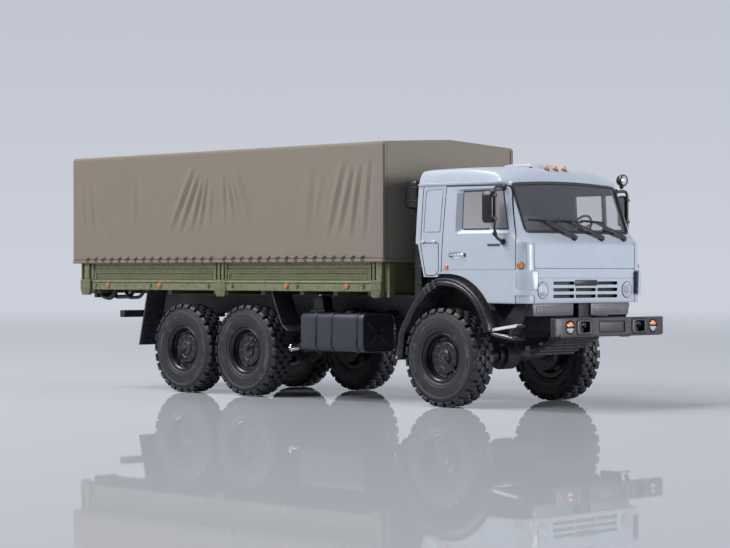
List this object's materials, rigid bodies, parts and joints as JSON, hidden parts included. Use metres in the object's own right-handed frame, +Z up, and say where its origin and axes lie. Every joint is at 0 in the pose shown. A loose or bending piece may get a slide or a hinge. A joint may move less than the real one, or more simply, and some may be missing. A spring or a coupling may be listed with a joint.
{
  "type": "scale model military cargo truck",
  "caption": "Scale model of a cab-over all-wheel-drive military cargo truck: hollow cab, drop-side bed under a moulded canvas tilt, and lugged wheels that roll freely.",
  "frame": {"origin": "on the ground under the middle of the model's length and width", "axes": "+X forward to the bumper, +Y to the truck's left, +Z up"},
  "size_m": [0.2151, 0.0642, 0.0808],
  "materials": {
    "frame_black": "satin",
    "engine_grey": "matte",
    "tank_grey": "satin",
    "side_box_black": "satin",
    "exhaust_metal": "satin",
    "bumper_grey": "satin",
    "black_plastic": "satin",
    "cab_paint": "gloss",
    "interior_grey": "matte",
    "clear_glass": "polished",
    "lamp_clear": "polished",
    "lamp_orange": "polished",
    "lamp_red": "polished",
    "bed_olive": "satin",
    "tilt_khaki": "matte",
    "tyre_rubber": "matte",
    "rim_black": "satin"
  },
  "bodies": {
    "chassis": {"chassis_frame": "frame_black", "drive_line": "frame_black", "front_axle": "frame_black", "middle_axle": "frame_black", "rear_axle": "frame_black", "leaf_springs": "frame_black", "underride_bar": "frame_black", "spare_carrier": "frame_black", "engine_block": "engine_grey", "fuel_tank": "tank_grey", "battery_box": "side_box_black", "air_tanks": "side_box_black", "exhaust": "exhaust_metal", "bumper": "bumper_grey", "lower_valance": "bumper_grey", "front_apron": "bumper_grey", "cab_steps": "black_plastic", "front_fenders": "black_plastic", "rear_mudguards": "black_plastic", "grille_insert": "black_plastic", "wipers": "black_plastic", "mirrors": "black_plastic", "search_lamp": "black_plastic", "air_intake": "black_plastic", "cab_shell": "cab_paint", "cab_interior": "interior_grey", "windscreen": "clear_glass", "side_windows": "clear_glass", "front_lamps": "lamp_clear", "marker_lamps": "lamp_orange", "tail_lamps": "lamp_red", "bed_floor": "bed_olive", "bed_side_right": "bed_olive", "bed_side_left": "bed_olive", "bed_front_board": "bed_olive", "bed_tailgate": "bed_olive", "tilt": "tilt_khaki", "spare_tyre": "tyre_rubber", "spare_rim": "rim_black"},
    "wheel_front_right": {"tyre_front_right": "tyre_rubber", "rim_front_right": "rim_black"},
    "wheel_front_left": {"tyre_front_left": "tyre_rubber", "rim_front_left": "rim_black"},
    "wheel_middle_right": {"tyre_middle_right": "tyre_rubber", "rim_middle_right": "rim_black"},
    "wheel_middle_left": {"tyre_middle_left": "tyre_rubber", "rim_middle_left": "rim_black"},
    "wheel_rear_right": {"tyre_rear_right": "tyre_rubber", "rim_rear_right": "rim_black"},
    "wheel_rear_left": {"tyre_rear_left": "tyre_rubber", "rim_rear_left": "rim_black"}
  },
  "joints": [
    {"name": "roll_front_right", "type": "hinge", "parent": "chassis", "child": "wheel_front_right", "pos_m": [0.0659, -0.0245, 0.0146], "axis": [0, 1, 0], "continuous": true},
    {"name": "roll_front_left", "type": "hinge", "parent": "chassis", "child": "wheel_front_left", "pos_m": [0.0659, 0.0245, 0.0146], "axis": [0, 1, 0], "continuous": true},
    {"name": "roll_middle_right", "type": "hinge", "parent": "chassis", "child": "wheel_middle_right", "pos_m": [-0.0199, -0.0245, 0.0146], "axis": [0, 1, 0], "continuous": true},
    {"name": "roll_middle_left", "type": "hinge", "parent": "chassis", "child": "wheel_middle_left", "pos_m": [-0.0199, 0.0245, 0.0146], "axis": [0, 1, 0], "continuous": true},
    {"name": "roll_rear_right", "type": "hinge", "parent": "chassis", "child": "wheel_rear_right", "pos_m": [-0.0506, -0.0245, 0.0146], "axis": [0, 1, 0], "continuous": true},
    {"name": "roll_rear_left", "type": "hinge", "parent": "chassis", "child": "wheel_rear_left", "pos_m": [-0.0506, 0.0245, 0.0146], "axis": [0, 1, 0], "continuous": true}
  ]
}
